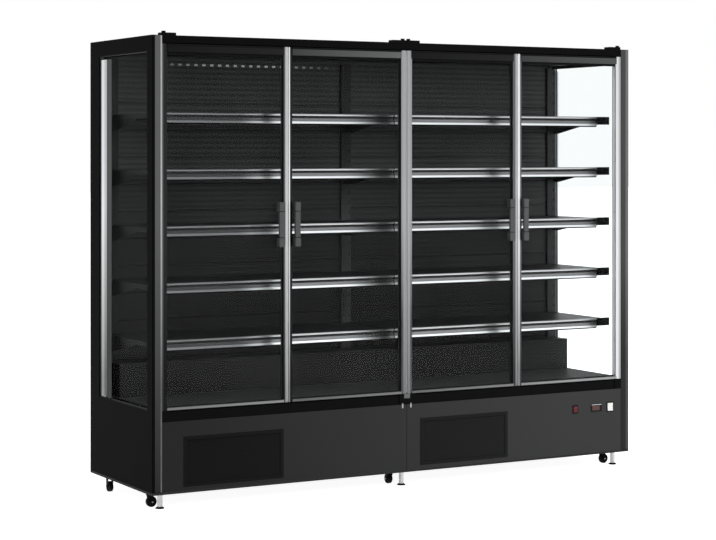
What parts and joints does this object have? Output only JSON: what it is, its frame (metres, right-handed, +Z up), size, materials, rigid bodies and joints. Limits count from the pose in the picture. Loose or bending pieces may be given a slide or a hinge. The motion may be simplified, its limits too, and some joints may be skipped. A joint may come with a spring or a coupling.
{
  "type": "glass door multideck display refrigerator",
  "caption": "Long plug-in multideck display refrigerator with hinged glass doors, glazed ends, tiered shelves, lower machine compartment, castors and levelling feet.",
  "frame": {"origin": "on the floor, under the middle of the outer box", "axes": "+X to the viewer's right along the row of doors, -Y towards the customer, +Z up"},
  "size_m": [2.5, 0.72, 2.0383],
  "materials": {
    "black_steel": "satin black powder coat",
    "grey_steel": "satin grey-black powder coat",
    "liner_steel": "semi-gloss black powder coat",
    "zinc_steel": "zinc plated",
    "aluminium": "satin anodised",
    "fin_aluminium": "bare fins",
    "clear_glass": "clear toughened glass",
    "black_plastic": "moulded black",
    "handle_plastic": "moulded dark grey",
    "red_plastic": "moulded red",
    "white_plastic": "moulded white",
    "black_rubber": "moulded tread"
  },
  "bodies": {
    "root": {"base_frame": "zinc_steel", "insulated_body": "black_steel", "left_end_panel": "black_steel", "right_end_panel": "black_steel", "left_end_glass": "clear_glass", "right_end_glass": "clear_glass", "top_fascia": "black_steel", "canopy_lamp": "white_plastic", "duct_panel": "liner_steel", "deck_pan": "liner_steel", "door_sill": "black_plastic", "front_panel_left": "grey_steel", "front_panel_right": "grey_steel", "controller": "black_plastic", "upright_left": "liner_steel", "upright_centre": "liner_steel", "upright_right": "liner_steel", "shelf_left_1": "liner_steel", "shelf_left_2": "liner_steel", "shelf_left_3": "liner_steel", "shelf_left_4": "liner_steel", "shelf_left_5": "liner_steel", "shelf_right_1": "liner_steel", "shelf_right_2": "liner_steel", "shelf_right_3": "liner_steel", "shelf_right_4": "liner_steel", "shelf_right_5": "liner_steel", "top_hinge_left": "black_steel", "top_hinge_centre": "black_steel", "top_hinge_right": "black_steel", "compressor": "black_steel", "condenser_coil": "fin_aluminium", "evaporator_coil": "fin_aluminium"},
    "door_1": {"door_1_frame": "aluminium", "door_1_glass": "clear_glass", "door_1_handle": "handle_plastic"},
    "door_2": {"door_2_frame": "aluminium", "door_2_glass": "clear_glass", "door_2_handle": "handle_plastic"},
    "door_3": {"door_3_frame": "aluminium", "door_3_glass": "clear_glass", "door_3_handle": "handle_plastic"},
    "door_4": {"door_4_frame": "aluminium", "door_4_glass": "clear_glass", "door_4_handle": "handle_plastic"},
    "castor_fork_left": {"castor_fork_front_left": "black_steel"},
    "castor_wheel_left": {"castor_wheel_front_left": "black_rubber"},
    "castor_fork_centre": {"castor_fork_front_centre": "black_steel"},
    "castor_wheel_centre": {"castor_wheel_front_centre": "black_rubber"},
    "castor_fork_right": {"castor_fork_front_right": "black_steel"},
    "castor_wheel_right": {"castor_wheel_front_right": "black_rubber"},
    "rear_wheel_left": {"castor_wheel_rear_left": "black_rubber"},
    "rear_wheel_centre": {"castor_wheel_rear_centre": "black_rubber"},
    "rear_wheel_right": {"castor_wheel_rear_right": "black_rubber"},
    "levelling_foot_left": {"levelling_foot_left": "zinc_steel"},
    "levelling_foot_centre": {"levelling_foot_centre": "zinc_steel"},
    "levelling_foot_right": {"levelling_foot_right": "zinc_steel"},
    "power_switch": {"power_switch": "red_plastic"},
    "light_switch": {"light_switch": "white_plastic"},
    "condenser_fan": {"condenser_fan": "black_plastic"}
  },
  "joints": [
    {"name": "door_1_hinge", "type": "hinge", "parent": "root", "child": "door_1", "pos_m": [-1.192, -0.332, 1.207], "axis": [0, 0, -1], "range_deg": [0, 90], "stiffness_Nm_per_rad": 3, "springref_deg": -11.46},
    {"name": "door_2_hinge", "type": "hinge", "parent": "root", "child": "door_2", "pos_m": [-0.015, -0.332, 1.207], "axis": [0, 0, 1], "range_deg": [0, 85], "stiffness_Nm_per_rad": 3, "springref_deg": -11.46},
    {"name": "door_3_hinge", "type": "hinge", "parent": "root", "child": "door_3", "pos_m": [0.015, -0.332, 1.207], "axis": [0, 0, -1], "range_deg": [0, 85], "stiffness_Nm_per_rad": 3, "springref_deg": -11.46},
    {"name": "door_4_hinge", "type": "hinge", "parent": "root", "child": "door_4", "pos_m": [1.192, -0.332, 1.207], "axis": [0, 0, 1], "range_deg": [0, 90], "stiffness_Nm_per_rad": 3, "springref_deg": -11.46},
    {"name": "castor_swivel_left", "type": "hinge", "parent": "root", "child": "castor_fork_left", "pos_m": [-1.2, -0.187, 0.06], "axis": [0, 0, 1], "continuous": true},
    {"name": "castor_roll_left", "type": "hinge", "parent": "castor_fork_left", "child": "castor_wheel_left", "pos_m": [-1.188, -0.187, 0.02354], "axis": [0, -1, 0], "continuous": true},
    {"name": "castor_swivel_centre", "type": "hinge", "parent": "root", "child": "castor_fork_centre", "pos_m": [0, -0.187, 0.06], "axis": [0, 0, 1], "continuous": true},
    {"name": "castor_roll_centre", "type": "hinge", "parent": "castor_fork_centre", "child": "castor_wheel_centre", "pos_m": [0, -0.175, 0.02354], "axis": [1, 0, 0], "continuous": true},
    {"name": "castor_swivel_right", "type": "hinge", "parent": "root", "child": "castor_fork_right", "pos_m": [1.2, -0.187, 0.06], "axis": [0, 0, 1], "continuous": true},
    {"name": "castor_roll_right", "type": "hinge", "parent": "castor_fork_right", "child": "castor_wheel_right", "pos_m": [1.212, -0.187, 0.02354], "axis": [0, -1, 0], "continuous": true},
    {"name": "rear_roll_left", "type": "hinge", "parent": "root", "child": "rear_wheel_left", "pos_m": [-1.2, 0.252, 0.02354], "axis": [1, 0, 0], "continuous": true},
    {"name": "rear_roll_centre", "type": "hinge", "parent": "root", "child": "rear_wheel_centre", "pos_m": [0, 0.252, 0.02354], "axis": [1, 0, 0], "continuous": true},
    {"name": "rear_roll_right", "type": "hinge", "parent": "root", "child": "rear_wheel_right", "pos_m": [1.2, 0.252, 0.02354], "axis": [1, 0, 0], "continuous": true},
    {"name": "foot_screw_left", "type": "slide", "parent": "root", "child": "levelling_foot_left", "axis": [0, 0, -1], "range_m": [0, 0.02]},
    {"name": "foot_screw_centre", "type": "slide", "parent": "root", "child": "levelling_foot_centre", "axis": [0, 0, -1], "range_m": [0, 0.02]},
    {"name": "foot_screw_right", "type": "slide", "parent": "root", "child": "levelling_foot_right", "axis": [0, 0, -1], "range_m": [0, 0.02]},
    {"name": "power_switch_rock", "type": "hinge", "parent": "root", "child": "power_switch", "pos_m": [0.935, -0.333, 0.298], "axis": [1, 0, 0], "range_deg": [-6, 6]},
    {"name": "light_switch_rock", "type": "hinge", "parent": "root", "child": "light_switch", "pos_m": [1.139, -0.333, 0.298], "axis": [1, 0, 0], "range_deg": [-6, 6]},
    {"name": "fan_spin", "type": "hinge", "parent": "root", "child": "condenser_fan", "pos_m": [0.309, -0.202, 0.1953], "axis": [0, 1, 0], "continuous": true}
  ]
}
